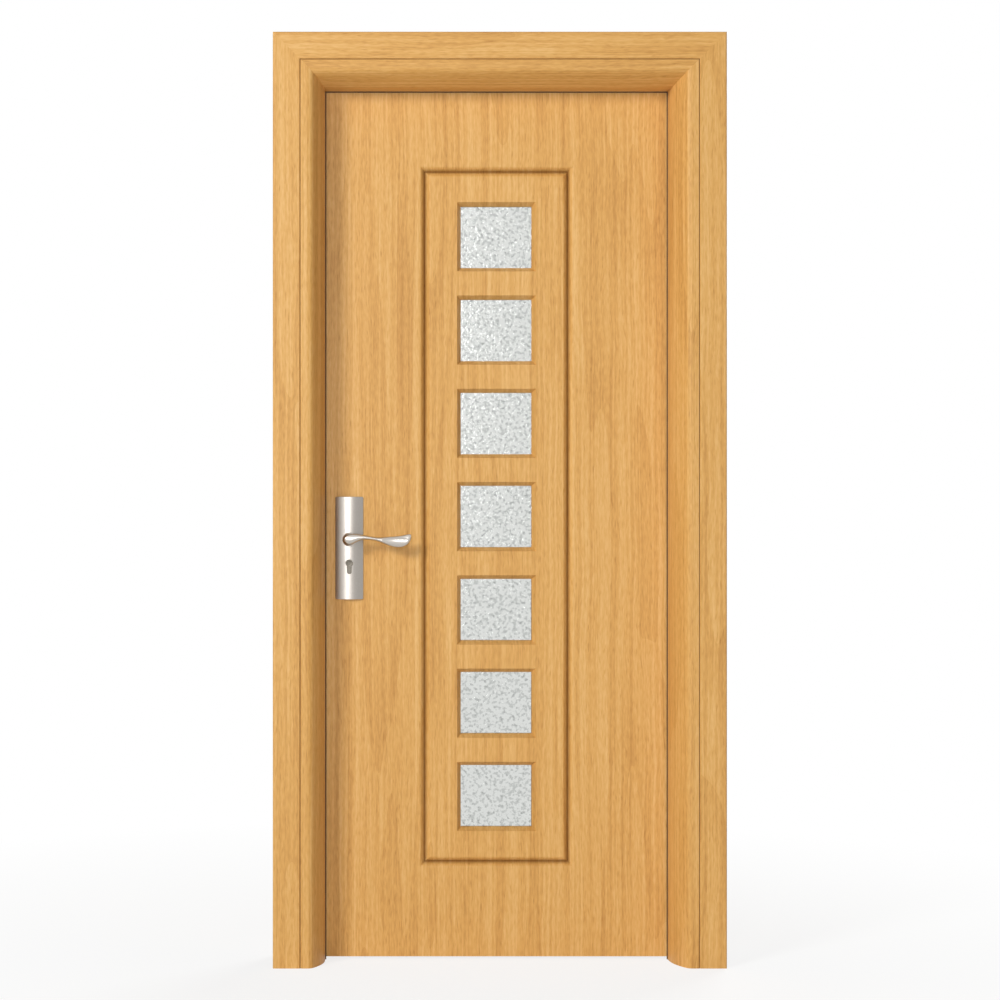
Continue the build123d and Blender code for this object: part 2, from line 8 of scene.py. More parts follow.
import bmesh
import bpy
from mathutils import Matrix, Vector


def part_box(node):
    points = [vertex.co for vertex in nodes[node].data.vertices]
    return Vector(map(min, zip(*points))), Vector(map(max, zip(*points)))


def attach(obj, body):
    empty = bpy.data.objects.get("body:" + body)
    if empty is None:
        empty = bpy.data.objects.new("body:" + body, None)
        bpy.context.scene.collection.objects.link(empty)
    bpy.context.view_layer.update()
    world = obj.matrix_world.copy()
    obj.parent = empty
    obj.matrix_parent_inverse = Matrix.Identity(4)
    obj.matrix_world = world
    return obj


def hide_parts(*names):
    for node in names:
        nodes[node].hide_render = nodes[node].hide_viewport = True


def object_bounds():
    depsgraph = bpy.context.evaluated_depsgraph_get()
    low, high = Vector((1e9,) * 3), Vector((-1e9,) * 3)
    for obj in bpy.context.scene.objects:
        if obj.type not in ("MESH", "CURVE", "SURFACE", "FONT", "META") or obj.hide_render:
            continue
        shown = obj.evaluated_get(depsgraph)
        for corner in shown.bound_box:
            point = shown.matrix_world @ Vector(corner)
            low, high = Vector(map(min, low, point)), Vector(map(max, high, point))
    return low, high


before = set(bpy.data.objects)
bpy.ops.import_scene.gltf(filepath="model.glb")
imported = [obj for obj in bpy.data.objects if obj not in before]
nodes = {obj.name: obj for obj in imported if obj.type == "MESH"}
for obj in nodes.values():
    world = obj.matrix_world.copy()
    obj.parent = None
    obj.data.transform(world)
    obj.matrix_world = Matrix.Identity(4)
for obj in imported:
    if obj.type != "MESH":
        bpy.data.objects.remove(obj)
cad_low, cad_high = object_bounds()
print("door of", len(nodes), "pieces, from", tuple(cad_low), "to", tuple(cad_high))

# %% [markdown]
# The camera looks square at the door from its push side, a little to the left of the middle and at
# about chest height. A turned camera would make the upright edges lean, so the camera stays level
# and square, and its lens is shifted until the door sits in the middle of the picture.

# %% Camera
camera_distance = 5.1
camera_left_of_middle = 0.42
camera_height = 1.10
picture_width = 2.261
door_middle = (cad_low + cad_high) / 2
camera_place = Vector((door_middle.x - camera_left_of_middle, cad_low.y - camera_distance, camera_height))
bpy.ops.object.camera_add(location=camera_place, rotation=(pi / 2, 0, 0))
camera = bpy.context.object
camera.name = "camera"
camera.data.sensor_width = 36
camera.data.lens = camera.data.sensor_width * camera_distance / picture_width
camera.data.shift_x = (door_middle.x - camera_place.x) / picture_width
camera.data.shift_y = (door_middle.z - camera_place.z) / picture_width
camera.data.dof.use_dof = False
bpy.context.scene.camera = camera
bpy.context.scene.view_settings.view_transform = "Standard"
shift = (round(camera.data.shift_x, 3), round(camera.data.shift_y, 3))
print("lens", round(camera.data.lens, 1), "shift", shift)

# %% [markdown]
# Shaders are built from nodes. One helper adds a node, sets its properties and sockets, and links
# what feeds it. Colours are written as sRGB hex values, as a colour picker shows them, and shaders
# need linear light, so one function turns the first into the second.


# %% Helpers for nodes and colours
def linear(hex_colour):
    channels = [int(hex_colour[i:i + 2], 16) / 255 for i in (1, 3, 5)]
    return [c / 12.92 if c <= 0.04045 else ((c + 0.055) / 1.055) ** 2.4 for c in channels] + [1.0]


def add_node(tree, kind, values=None, links=None, **settings):
    node = tree.nodes.new(kind)
    for name, value in settings.items():
        setattr(node, name, value)
    for socket, value in (values or {}).items():
        node.inputs[socket].default_value = value
    for socket, source in (links or {}).items():
        tree.links.new(source, node.inputs[socket])
    return node


def set_ramp(ramp, *stops):
    """Puts the colours on a ramp node, each at its place from 0 to 1."""
    elements = ramp.color_ramp.elements
    while len(elements) < len(stops):
        elements.new(0.5)
    for element, (position, colour) in zip(elements, stops):
        element.position = position
        element.color = linear(colour)


def new_finish(name):
    finish = bpy.data.materials.new(name)
    finish.use_nodes = True
    finish.node_tree.nodes.clear()
    return finish


print("mid grey", [round(c, 3) for c in linear("#808080")])

# %% [markdown]
# The door stands in a plain white studio. The world is white where the camera, a reflection or a view
# through glass looks at it, and dimmer as a light, so that it fills the shadows only softly. A ray that
# has already left a matt surface counts as light, so the bright backdrop behind the panes lights nothing.


# %% White studio
AMBIENT = 0.15


def looks_at_backdrop(tree):
    """Gives 1 to rays of sight, mirrored or through glass, and 0 to rays that gather light."""
    ray = add_node(tree, "ShaderNodeLightPath")
    seen = add_node(tree, "ShaderNodeMath", {},
                    {0: ray.outputs["Is Camera Ray"], 1: ray.outputs["Is Glossy Ray"]}, operation="MAXIMUM")
    shown = add_node(tree, "ShaderNodeMath", {}, {0: seen.outputs[0], 1: ray.outputs["Is Transmission Ray"]},
                     operation="MAXIMUM")
    first = add_node(tree, "ShaderNodeMath", {1: 0.5},
                     {0: ray.outputs["Diffuse Depth"]}, operation="LESS_THAN")
    sight = add_node(tree, "ShaderNodeMath", {},
                     {0: shown.outputs[0], 1: first.outputs[0]}, operation="MULTIPLY")
    return sight.outputs[0]


world = bpy.data.worlds.new("studio")
world.use_nodes = True
bpy.context.scene.world = world
sky = world.node_tree
sky.nodes.clear()
white = add_node(sky, "ShaderNodeBackground", {"Color": linear("#FFFFFF"), "Strength": 1.0})
dome = add_node(sky, "ShaderNodeBackground", {"Color": linear("#FFFFFF"), "Strength": AMBIENT})
both = add_node(sky, "ShaderNodeMixShader", {},
                {0: looks_at_backdrop(sky), 1: dome.outputs[0], 2: white.outputs[0]})
add_node(sky, "ShaderNodeOutputWorld", {}, {"Surface": both.outputs[0]})
print("ambient light", AMBIENT)

# %% [markdown]
# Two lamps share the light in front. The soft key lamp at the upper left leaves the left and upper walls of
# each moulding dark, throws the jamb's shadow on the leaf and lights the right and lower walls. The broad one
# in front fills the leaf evenly and draws the bright band down the handle plate. A third one, behind the
# door, keeps its far side readable.


# %% Lamps
def soft_lamp(name, place, size, power):
    bpy.ops.object.light_add(type="AREA", location=place)
    lamp = bpy.context.object
    lamp.name = name
    lamp.data.size = size
    lamp.data.energy = power
    lamp.rotation_euler = (door_middle - Vector(place)).to_track_quat("-Z", "Y").to_euler()
    return lamp


front_lamp = soft_lamp("front_lamp", (-1.5, -8.0, 1.9), 2.2, 200)
key_lamp = soft_lamp("key_lamp", (-5.5, -6.0, 4.5), 1.8, 375)
back_lamp = soft_lamp("back_lamp", (2.4, 4.6, 3.2), 3.0, 220)
print("lamps", [lamp.data.energy for lamp in (front_lamp, key_lamp, back_lamp)])

# %% [markdown]
# The floor is a pale sheet that keeps the door's soft shadow. Near the door it is mostly studio white to the
# eye, with enough paper in it to take the shadow. Further out it fades into the white, so that no horizon
# line shows.

# %% Floor
NEAR_WHITE = 0.8
FADE_START = 0.7
FADE_END = 2.2
FLOOR_RADIUS = 6
bpy.ops.mesh.primitive_circle_add(vertices=64, radius=FLOOR_RADIUS, fill_type="NGON",
                                  location=(door_middle.x, 0, 0))
floor = bpy.context.object
floor.name = "floor"
paper = new_finish("matt_paper_floor")
tree = paper.node_tree
place = add_node(tree, "ShaderNodeTexCoord")
reach = add_node(tree, "ShaderNodeVectorMath", {}, {0: place.outputs["Object"]}, operation="LENGTH")
fade = add_node(tree, "ShaderNodeMapRange",
                {"From Min": FADE_START, "From Max": FADE_END, "To Min": NEAR_WHITE},
                {"Value": reach.outputs["Value"]})
far = add_node(tree, "ShaderNodeMath", {},
               {0: fade.outputs[0], 1: looks_at_backdrop(tree)}, operation="MULTIPLY")
sheet = add_node(tree, "ShaderNodeBsdfPrincipled", {"Base Color": linear("#F6F6F4"), "Roughness": 0.9})
glow = add_node(tree, "ShaderNodeEmission", {"Color": linear("#FFFFFF"), "Strength": 1.0})
both = add_node(tree, "ShaderNodeMixShader", {}, {0: far.outputs[0], 1: sheet.outputs[0], 2: glow.outputs[0]})
add_node(tree, "ShaderNodeOutputMaterial", {}, {"Surface": both.outputs[0]})
floor.data.materials.append(paper)
print("floor white from", FADE_END, "m on")

# %% [markdown]
# The whole door is faced with a printed oak film, heat-pressed over the mouldings. Oak shows long straight
# streaks, short flecks and darker pores between them, and here and there a wide growth ring that closes into
# an arch. Each is a noise stretched along the grain, at its real width and length in metres. On upright
# boards the grain runs up, on head boards across, so one function makes the film and turns it. The bottom of
# the leaf's moulded line reads darker than lamps alone make it, so painted shade darkens the film where it
# lies deepest.

# %% Oak film
GRAIN_LAYERS = {
    "streak": {"width": 0.0060, "length": 1.10, "detail": 2.0, "strength": 0.56},
    "band": {"width": 0.0350, "length": 2.00, "detail": 1.0, "strength": 0.16},
    "fleck": {"width": 0.0034, "length": 0.020, "detail": 1.0, "strength": 0.38},
}
PORE_WIDTH = 0.0026
PORE_LENGTH = 0.026
RING_WIDTH = 0.110
RING_LENGTH = 1.6
RING_COUNT = 6.0
RING_EDGE = (0.45, 0.95)
RING_TONE = (0.54, 0.44)
PORE_EDGE = (0.62, 0.74)
PORE_DARKNESS = 0.16
DRIFTS_PER_METRE = 3.0
WANDER = 0.016
CHIP = 0.002
# painted shade: between these depths below the leaf's face the film is darkened by this tint
GROOVE_SHADE_DEPTHS = (0.0040, 0.0108)
GROOVE_SHADE_TINT = "#ACA094"
LEAF_INNER_SHARE = 0.95


def stretched_noise(tree, along_grain, width, length, detail):
    """Noise as wide and as long as one mark of the grain."""
    stretch = add_node(tree, "ShaderNodeMapping", {"Scale": (1 / width, 1 / width, 1 / length)},
                       {"Vector": along_grain})
    noise = add_node(tree, "ShaderNodeTexNoise", {"Scale": 1.0, "Detail": detail},
                     {"Vector": stretch.outputs[0]})
    return noise.outputs[0]


def bare_board(tree, place, film_colour, wall_side):
    """Brown fibreboard where a piece lies against the wall, film everywhere else."""
    centre, axis, limit, test = wall_side
    offset = add_node(tree, "ShaderNodeVectorMath", {1: centre}, {0: place}, operation="SUBTRACT")
    along = add_node(tree, "ShaderNodeVectorMath", {1: axis}, {0: offset.outputs[0]}, operation="DOT_PRODUCT")
    away = add_node(tree, "ShaderNodeMath", {}, {0: along.outputs["Value"]}, operation="ABSOLUTE")
    bare = add_node(tree, "ShaderNodeMath", {1: limit}, {0: away.outputs[0]}, operation=test)
    chips = add_node(tree, "ShaderNodeTexNoise", {"Scale": 1 / CHIP, "Detail": 3.0}, {"Vector": place})
    board = add_node(tree, "ShaderNodeValToRGB", {}, {"Fac": chips.outputs[0]})
    set_ramp(board, (0.35, "#A9855A"), (0.65, "#BE9C70"))
    mix = add_node(tree, "ShaderNodeMix", {}, {"Factor": bare.outputs[0]}, data_type="RGBA")
    tree.links.new(film_colour, mix.inputs[6])
    tree.links.new(board.outputs[0], mix.inputs[7])
    return mix.outputs[2]


def painted_groove_shade(tree, place, film_colour, leaf_box):
    """Painted shade: darker film at the bottom of the moulded line, on both faces of the leaf."""
    low, high = leaf_box
    half = (high - low) / 2
    offset = add_node(tree, "ShaderNodeVectorMath", {1: (low + high) / 2}, {0: place}, operation="SUBTRACT")
    share = add_node(tree, "ShaderNodeVectorMath", {1: half}, {0: offset.outputs[0]}, operation="DIVIDE")
    reach = add_node(tree, "ShaderNodeVectorMath", {}, {0: share.outputs[0]}, operation="ABSOLUTE")
    axes = add_node(tree, "ShaderNodeSeparateXYZ", {}, {0: reach.outputs[0]})
    edge = add_node(tree, "ShaderNodeMath", {},
                    {0: axes.outputs["X"], 1: axes.outputs["Z"]}, operation="MAXIMUM")
    inner = add_node(tree, "ShaderNodeMath", {1: LEAF_INNER_SHARE},
                     {0: edge.outputs[0]}, operation="LESS_THAN")
    start, end = [1 - depth / half.y for depth in GROOVE_SHADE_DEPTHS]
    deep = add_node(tree, "ShaderNodeMapRange", {"From Min": start, "From Max": end},
                    {"Value": axes.outputs["Y"]})
    # painted shade mask: deep in the moulded line and inside the leaf's rim
    pressed = add_node(tree, "ShaderNodeMath", {},
                       {0: deep.outputs[0], 1: inner.outputs[0]}, operation="MULTIPLY")
    mix = add_node(tree, "ShaderNodeMix", {}, {"Factor": pressed.outputs[0]},
                   data_type="RGBA", blend_type="MULTIPLY")
    tree.links.new(film_colour, mix.inputs[6])
    mix.inputs[7].default_value = linear(GROOVE_SHADE_TINT)
    return mix.outputs[2]


def oak_film(name, turn, shift, depth_scale, wall_side=None, leaf_box=None):
    """A satin printed film: warm yellow-brown streaks, a soft sheen and pores just felt in the gloss."""
    film = new_finish(name)
    tree = film.node_tree
    place = add_node(tree, "ShaderNodeTexCoord").outputs["Object"]
    board = add_node(tree, "ShaderNodeMapping",
                     {"Location": shift, "Rotation": turn, "Scale": (1, depth_scale, 1)}, {"Vector": place})
    drift = add_node(tree, "ShaderNodeTexNoise", {"Scale": DRIFTS_PER_METRE, "Detail": 1.0},
                     {"Vector": board.outputs[0]})
    swing = add_node(tree, "ShaderNodeVectorMath", {1: (0.5, 0.5, 0.5)}, {0: drift.outputs["Color"]},
                     operation="SUBTRACT")
    along_grain = add_node(tree, "ShaderNodeVectorMath", {1: (WANDER, WANDER, 0.0)},
                           {0: swing.outputs[0], 2: board.outputs[0]}, operation="MULTIPLY_ADD").outputs[0]
    ring_noise = stretched_noise(tree, along_grain, RING_WIDTH, RING_LENGTH, 1.0)
    rings = add_node(tree, "ShaderNodeMath", {1: RING_COUNT}, {0: ring_noise}, operation="MULTIPLY")
    ring_step = add_node(tree, "ShaderNodeMath", {}, {0: rings.outputs[0]}, operation="FRACT")
    tone = add_node(tree, "ShaderNodeMapRange",
                    {"From Min": RING_EDGE[0], "From Max": RING_EDGE[1],
                     "To Min": RING_TONE[0], "To Max": RING_TONE[1]},
                    {"Value": ring_step.outputs[0]}, interpolation_type="SMOOTHSTEP").outputs[0]
    for mark in GRAIN_LAYERS.values():
        noise = stretched_noise(tree, along_grain, mark["width"], mark["length"], mark["detail"])
        centred = add_node(tree, "ShaderNodeMath", {1: 0.5}, {0: noise}, operation="SUBTRACT")
        tone = add_node(tree, "ShaderNodeMath", {1: mark["strength"]}, {0: centred.outputs[0], 2: tone},
                        operation="MULTIPLY_ADD").outputs[0]
    pores = add_node(tree, "ShaderNodeMapRange",
                     {"From Min": PORE_EDGE[0], "From Max": PORE_EDGE[1], "To Max": PORE_DARKNESS},
                     {"Value": stretched_noise(tree, along_grain, PORE_WIDTH, PORE_LENGTH, 1.0)})
    grain = add_node(tree, "ShaderNodeMath", {}, {0: tone, 1: pores.outputs[0]}, operation="SUBTRACT")
    colour = add_node(tree, "ShaderNodeValToRGB", {}, {"Fac": grain.outputs[0]})
    set_ramp(colour, (0.15, "#B88140"), (0.5, "#D8A45B"), (0.85, "#ECC17F"))
    shown_colour = colour.outputs[0]
    if wall_side:
        shown_colour = bare_board(tree, place, shown_colour, wall_side)
    # painted shade at the bottom of the leaf's moulded line
    if leaf_box:
        shown_colour = painted_groove_shade(tree, place, shown_colour, leaf_box)
    gloss = add_node(tree, "ShaderNodeMapRange", {"To Min": 0.52, "To Max": 0.40},
                     {"Value": grain.outputs[0]})
    relief = add_node(tree, "ShaderNodeBump", {"Strength": 0.10, "Distance": 0.0004},
                      {"Height": grain.outputs[0]})
    face = add_node(tree, "ShaderNodeBsdfPrincipled", {"IOR": 1.46, "Specular IOR Level": 0.3},
                    {"Base Color": shown_colour, "Roughness": gloss.outputs[0], "Normal": relief.outputs[0]})
    add_node(tree, "ShaderNodeOutputMaterial", {}, {"Surface": face.outputs[0]})
    return film


print("grain marks", list(GRAIN_LAYERS))

# %% [markdown]
# Film covers only what shows once the door is built in. The sides of jambs and casings that lie against the
# wall are bare fibreboard, so each film is told where its wall side is: beyond the jambs' outer faces, above
# the head, or near the wall's plane for the casings.

# %% Films for leaf, jambs and casings
SKIM = 0.0006
CASING_HOLLOW = 0.0022
jamb_low, jamb_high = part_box("lock_jamb")[0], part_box("hinge_jamb")[1]
jamb_half = (jamb_high.x - jamb_low.x) / 2
head_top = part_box("head_jamb")[1].z
wall_face = abs(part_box("back_head_casing")[0].y)
jambs_bare = ((jamb_low.x + jamb_half, 0, 0), (1, 0, 0), jamb_half - SKIM, "GREATER_THAN")
head_bare = ((0, 0, 0), (0, 0, 1), head_top - SKIM, "GREATER_THAN")
casings_bare = ((0, 0, 0), (0, 1, 0), wall_face + CASING_HOLLOW, "LESS_THAN")
upright = (0, 0, 0)
across = (0, pi / 2, 0)
leaf_box = (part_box("front_skin")[0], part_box("back_skin")[1])
leaf_film = oak_film("oak_film_leaf", upright, (0.0, 0.0, 0.0), 0.25)
skin_film = oak_film("oak_film_skins_painted_groove_shade", upright, (0.0, 0.0, 0.0), 0.25, leaf_box=leaf_box)
jamb_film = oak_film("oak_film_jambs", upright, (3.1, 0.7, 1.9), 1.0, jambs_bare)
casing_film = oak_film("oak_film_casings", upright, (7.4, 0.7, 3.3), 1.0, casings_bare)
head_film = oak_film("oak_film_head", across, (5.3, 2.2, 0.4), 1.0, head_bare)
head_casing_film = oak_film("oak_film_head_casings", across, (8.6, 1.2, 0.9), 1.0, casings_bare)
print("bare beyond", round(jamb_half, 4), round(head_top, 4), "and within", round(wall_face, 4))

# %% [markdown]
# The leaf is built like most light doors: a softwood frame with a board core, between two faced skins.
# Its wood shows only along the top and bottom edges, so plain pine with wide soft rings is enough.

# %% Core pine
PINE_RING = 0.006
PINE_LENGTH = 0.5


def core_pine(name, turn):
    """Planed pine: pale, matt, with soft orange rings."""
    pine = new_finish(name)
    tree = pine.node_tree
    place = add_node(tree, "ShaderNodeTexCoord")
    board = add_node(tree, "ShaderNodeMapping", {"Rotation": turn}, {"Vector": place.outputs["Object"]})
    rings = stretched_noise(tree, board.outputs[0], PINE_RING, PINE_LENGTH, 2.0)
    colour = add_node(tree, "ShaderNodeValToRGB", {}, {"Fac": rings})
    set_ramp(colour, (0.3, "#D3AE79"), (0.7, "#E6CC9F"))
    rough = add_node(tree, "ShaderNodeMapRange", {"To Min": 0.66, "To Max": 0.80}, {"Value": rings})
    relief = add_node(tree, "ShaderNodeBump", {"Strength": 0.2, "Distance": 0.0004}, {"Height": rings})
    face = add_node(tree, "ShaderNodeBsdfPrincipled", {"IOR": 1.5},
                    {"Base Color": colour.outputs[0], "Roughness": rough.outputs[0],
                     "Normal": relief.outputs[0]})
    add_node(tree, "ShaderNodeOutputMaterial", {}, {"Surface": face.outputs[0]})
    return pine


rail_pine = core_pine("planed_pine_rails", across)
core_panel_pine = core_pine("planed_pine_core", upright)
print("pine", rail_pine.name, core_panel_pine.name)

# %% [markdown]
# Handles, hinges and lock plates are zinc castings and steel with a satin nickel plating. Nickel is a
# little warm, and the blasted surface spreads highlights into broad soft bands. A fine grit breaks the
# sheen. Real grit of a tenth of a millimetre would not show here, so it is drawn at a millimetre. The levers
# look brighter than the plates, so they get a lighter copy of the same nickel, as painted light.

# %% Metals
GRIT = 0.0011


def plated_metal(name, dark, light, rough_low, rough_high):
    """Blasted and plated metal: a broad soft highlight, slightly uneven from the grit."""
    metal = new_finish(name)
    tree = metal.node_tree
    place = add_node(tree, "ShaderNodeTexCoord")
    grit = add_node(tree, "ShaderNodeTexNoise", {"Scale": 1 / GRIT, "Detail": 2.0},
                    {"Vector": place.outputs["Object"]})
    colour = add_node(tree, "ShaderNodeValToRGB", {}, {"Fac": grit.outputs[0]})
    set_ramp(colour, (0.25, dark), (0.75, light))
    gloss = add_node(tree, "ShaderNodeMapRange", {"To Min": rough_low, "To Max": rough_high},
                     {"Value": grit.outputs[0]})
    relief = add_node(tree, "ShaderNodeBump", {"Strength": 0.06, "Distance": 0.0002},
                      {"Height": grit.outputs[0]})
    face = add_node(tree, "ShaderNodeBsdfPrincipled", {"Metallic": 1.0},
                    {"Base Color": colour.outputs[0], "Roughness": gloss.outputs[0],
                     "Normal": relief.outputs[0]})
    add_node(tree, "ShaderNodeOutputMaterial", {}, {"Surface": face.outputs[0]})
    return metal


satin_nickel = plated_metal("satin_nickel", "#9B958E", "#ABA59E", 0.26, 0.37)
# painted light: a lighter copy of the satin nickel for the levers
lever_nickel_painted_light = plated_metal("satin_nickel_painted_lighter", "#B8B2AA", "#C7C1B9", 0.26, 0.36)
# painted shade: the lock cylinder and its key plugs get a much darker copy of the nickel
cylinder_nickel_painted_shade = plated_metal("nickel_plated_brass_with_painted_shade", "#534F48", "#645F57", 0.30, 0.42)
zinc_steel = plated_metal("zinc_plated_steel", "#A9ACAE", "#C2C4C5", 0.30, 0.45)
print("metals", satin_nickel.name, lever_nickel_painted_light.name, cylinder_nickel_painted_shade.name, zinc_steel.name)

# %% [markdown]
# A brown rubber seal sits in the stop, where the closed leaf presses on it, and its lip shows as a dark line
# round the leaf. The bead of filler in the casings' joint is of much the same stuff, a little lighter, and
# stands in for the shade in the joint's gap. Both are matt, with a dusty bloom that makes the colour uneven.

# %% Seal rubber and joint filler
BLOOM = 0.012


def matt_elastic(name, dark, light):
    """Soft rubbery stuff: dull and dark, paler where dust blooms on it."""
    elastic = new_finish(name)
    tree = elastic.node_tree
    place = add_node(tree, "ShaderNodeTexCoord")
    bloom = add_node(tree, "ShaderNodeTexNoise", {"Scale": 1 / BLOOM, "Detail": 3.0},
                     {"Vector": place.outputs["Object"]})
    colour = add_node(tree, "ShaderNodeValToRGB", {}, {"Fac": bloom.outputs[0]})
    set_ramp(colour, (0.3, dark), (0.7, light))
    rough = add_node(tree, "ShaderNodeMapRange", {"To Min": 0.62, "To Max": 0.8}, {"Value": bloom.outputs[0]})
    face = add_node(tree, "ShaderNodeBsdfPrincipled", {"IOR": 1.52},
                    {"Base Color": colour.outputs[0], "Roughness": rough.outputs[0]})
    add_node(tree, "ShaderNodeOutputMaterial", {}, {"Surface": face.outputs[0]})
    return elastic


seal_rubber = matt_elastic("brown_seal_rubber", "#4A3726", "#5E4933")
# partly painted shade: the filler's dark brown stands in for the shadow in the V joint
joint_shade_filler = matt_elastic("brown_joint_shade_filler", "#64431F", "#7A552B")
print("seal and filler", seal_rubber.name, joint_shade_filler.name)

# %% [markdown]
# Every solid now gets its finish. Leaf skins and beads share one film, so the grain runs on through
# the mouldings, as it does where one film is pressed over all of them.

# %% Finishes on the solids
finish_of = {
    skin_film: ["front_skin", "back_skin"],
    leaf_film: ["front_beads", "back_beads", "lock_stile", "hinge_stile"],
    jamb_film: ["hinge_jamb", "lock_jamb"],
    casing_film: ["front_hinge_casing", "front_lock_casing", "back_hinge_casing", "back_lock_casing"],
    head_film: ["head_jamb"],
    head_casing_film: ["front_head_casing", "back_head_casing"],
    rail_pine: ["top_rail", "bottom_rail"],
    core_panel_pine: ["core_panel"],
    satin_nickel: ["bottom_hinge_frame_plate", "middle_hinge_frame_plate", "top_hinge_frame_plate",
                   "bottom_hinge_leaf_plate", "middle_hinge_leaf_plate", "top_hinge_leaf_plate", "hinge_pins",
                   "strike_plate", "mortise_lock", "latch_bolt", "dead_bolt",
                   "front_handle_plate", "back_handle_plate"],
    lever_nickel_painted_light: ["front_lever", "back_lever"],
    cylinder_nickel_painted_shade: ["lock_cylinder"],
    zinc_steel: ["spindle"],
    seal_rubber: ["hinge_seal", "lock_seal", "head_seal"],
}
for finish, names in finish_of.items():
    for name in names:
        nodes[name].data.materials.clear()
        nodes[name].data.materials.append(finish)
    print(finish.name, "on", len(names), "pieces")

# %% [markdown]
# The panes are cast glass, rolled with a pebbled face on both sides so that nobody sees through. To the eye
# it is a pale grey sparkle: the pebbles gather the light behind them in some places and spread it in others.
# The relief does this by itself in part, and a noise in the tint adds to it.

# %% Pebbled glass
PEBBLE = 0.0062
SPECK = 0.0075
glass = new_finish("pebbled_cast_glass")
tree = glass.node_tree
place = add_node(tree, "ShaderNodeTexCoord")
speck = add_node(tree, "ShaderNodeTexNoise", {"Scale": 1 / SPECK, "Detail": 1.0},
                 {"Vector": place.outputs["Object"]})
colour = add_node(tree, "ShaderNodeValToRGB", {}, {"Fac": speck.outputs[0]})
set_ramp(colour, (0.34, "#A6A9A6"), (0.46, "#D8DAD7"))
face = add_node(tree, "ShaderNodeBsdfPrincipled", {"Transmission Weight": 1.0, "IOR": 1.5, "Roughness": 0.12},
                {"Base Color": colour.outputs[0]})
add_node(tree, "ShaderNodeOutputMaterial", {}, {"Surface": face.outputs[0]})
print("glass", glass.name)

# %% [markdown]
# The pebbles are real relief: a fine grid is extruded to the pane's thickness, and its faces are pushed in by
# a cloud pattern, all but the rim that sits in the beads. Each pane is cut from another place of the sheet,
# so no two are alike.

# %% Panes
GRID_STEP = 0.002
PEBBLE_RELIEF = 0.0006
RIM = 0.006
pebble_cloud = bpy.data.textures.new("pebble_cloud", "CLOUDS")
pebble_cloud.noise_scale = PEBBLE
pebble_cloud.noise_depth = 1

pane_names = sorted(name for name in nodes if name.startswith("pane_"))
for name in pane_names:
    low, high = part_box(name)
    size = high - low
    bpy.ops.object.select_all(action="DESELECT")
    columns, rows = round(size.x / GRID_STEP), round(size.z / GRID_STEP)
    front_middle = (low.x + size.x / 2, low.y, low.z + size.z / 2)
    bpy.ops.mesh.primitive_grid_add(x_subdivisions=columns, y_subdivisions=rows, size=1,
                                    location=front_middle, rotation=(pi / 2, 0, 0))
    pane = bpy.context.object
    pane.name = f"pebbled_{name}"
    pane.scale = (size.x, size.z, 1)
    bpy.ops.object.transform_apply(location=True, rotation=True, scale=True)
    bpy.ops.object.mode_set(mode="EDIT")
    bpy.ops.mesh.select_all(action="SELECT")
    bpy.ops.mesh.extrude_region_move(TRANSFORM_OT_translate={"value": (0, size.y, 0)})
    bpy.ops.mesh.select_all(action="SELECT")
    bpy.ops.mesh.normals_make_consistent(inside=False)
    bpy.ops.object.mode_set(mode="OBJECT")
    pressed = pane.vertex_groups.new(name="pressed")
    inside = [v.index for v in pane.data.vertices
              if low.x + RIM < v.co.x < high.x - RIM and low.z + RIM < v.co.z < high.z - RIM]
    pressed.add(inside, 1.0, "REPLACE")
    press = pane.modifiers.new("press", "DISPLACE")
    press.texture = pebble_cloud
    press.texture_coords = "GLOBAL"
    press.mid_level = 1.0
    press.strength = PEBBLE_RELIEF
    press.vertex_group = "pressed"
    bpy.ops.object.modifier_apply(modifier="press")
    bpy.ops.object.shade_smooth_by_angle(angle=pi / 4)
    pane.data.materials.append(glass)
    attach(pane, "leaf")
    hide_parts(name)
print(len(pane_names), "panes of", len(pane.data.polygons), "faces each")

# %% [markdown]
# Casing and jamb meet in a fine V line. Fitters often run a thin bead of brown filler along such a line, and
# one is laid here as partly painted shade, because the shadow in the joint's gap reads dark. A bead is a
# three-cornered section pushed out to a long bar, whose ends are cut to a mitre where it turns at the head.
# Bisecting a bar is quicker and truer than placing the slanted points by hand.

# %% Filler in the V lines
FILLER_HALF = 0.0006
FILLER_DEPTH = 0.0018
TRIANGLE_HEIGHT = 1.5
TRIANGLE_SIDE = 3 ** 0.5
lock_line = jamb_low.x
hinge_line = jamb_high.x
head_line = head_top
hinge_mitre = (Vector((hinge_line, 0, head_line)), Vector((-1, 0, 1)))
lock_mitre = (Vector((lock_line, 0, head_line)), Vector((1, 0, 1)))


def filler_bar(place, turn, run, mitres, below):
    """A three-cornered bar from place along run, cut at each mitre and kept below or above it."""
    bpy.ops.object.select_all(action="DESELECT")
    bpy.ops.mesh.primitive_circle_add(vertices=3, radius=1, fill_type="NGON", location=place, rotation=turn)
    bar = bpy.context.object
    bar.scale = (2 * FILLER_HALF / TRIANGLE_SIDE, FILLER_HALF / TRIANGLE_HEIGHT, 1)
    bpy.ops.object.transform_apply(location=True, rotation=True, scale=True)
    bpy.ops.object.mode_set(mode="EDIT")
    bpy.ops.mesh.select_all(action="SELECT")
    bpy.ops.mesh.extrude_region_move(TRANSFORM_OT_translate={"value": run})
    for corner, slant in mitres:
        bpy.ops.mesh.select_all(action="SELECT")
        bpy.ops.mesh.bisect(plane_co=corner, plane_no=slant, use_fill=True,
                            clear_outer=below, clear_inner=not below)
    bpy.ops.mesh.select_all(action="SELECT")
    bpy.ops.mesh.normals_make_consistent(inside=False)
    bpy.ops.object.mode_set(mode="OBJECT")
    return bar


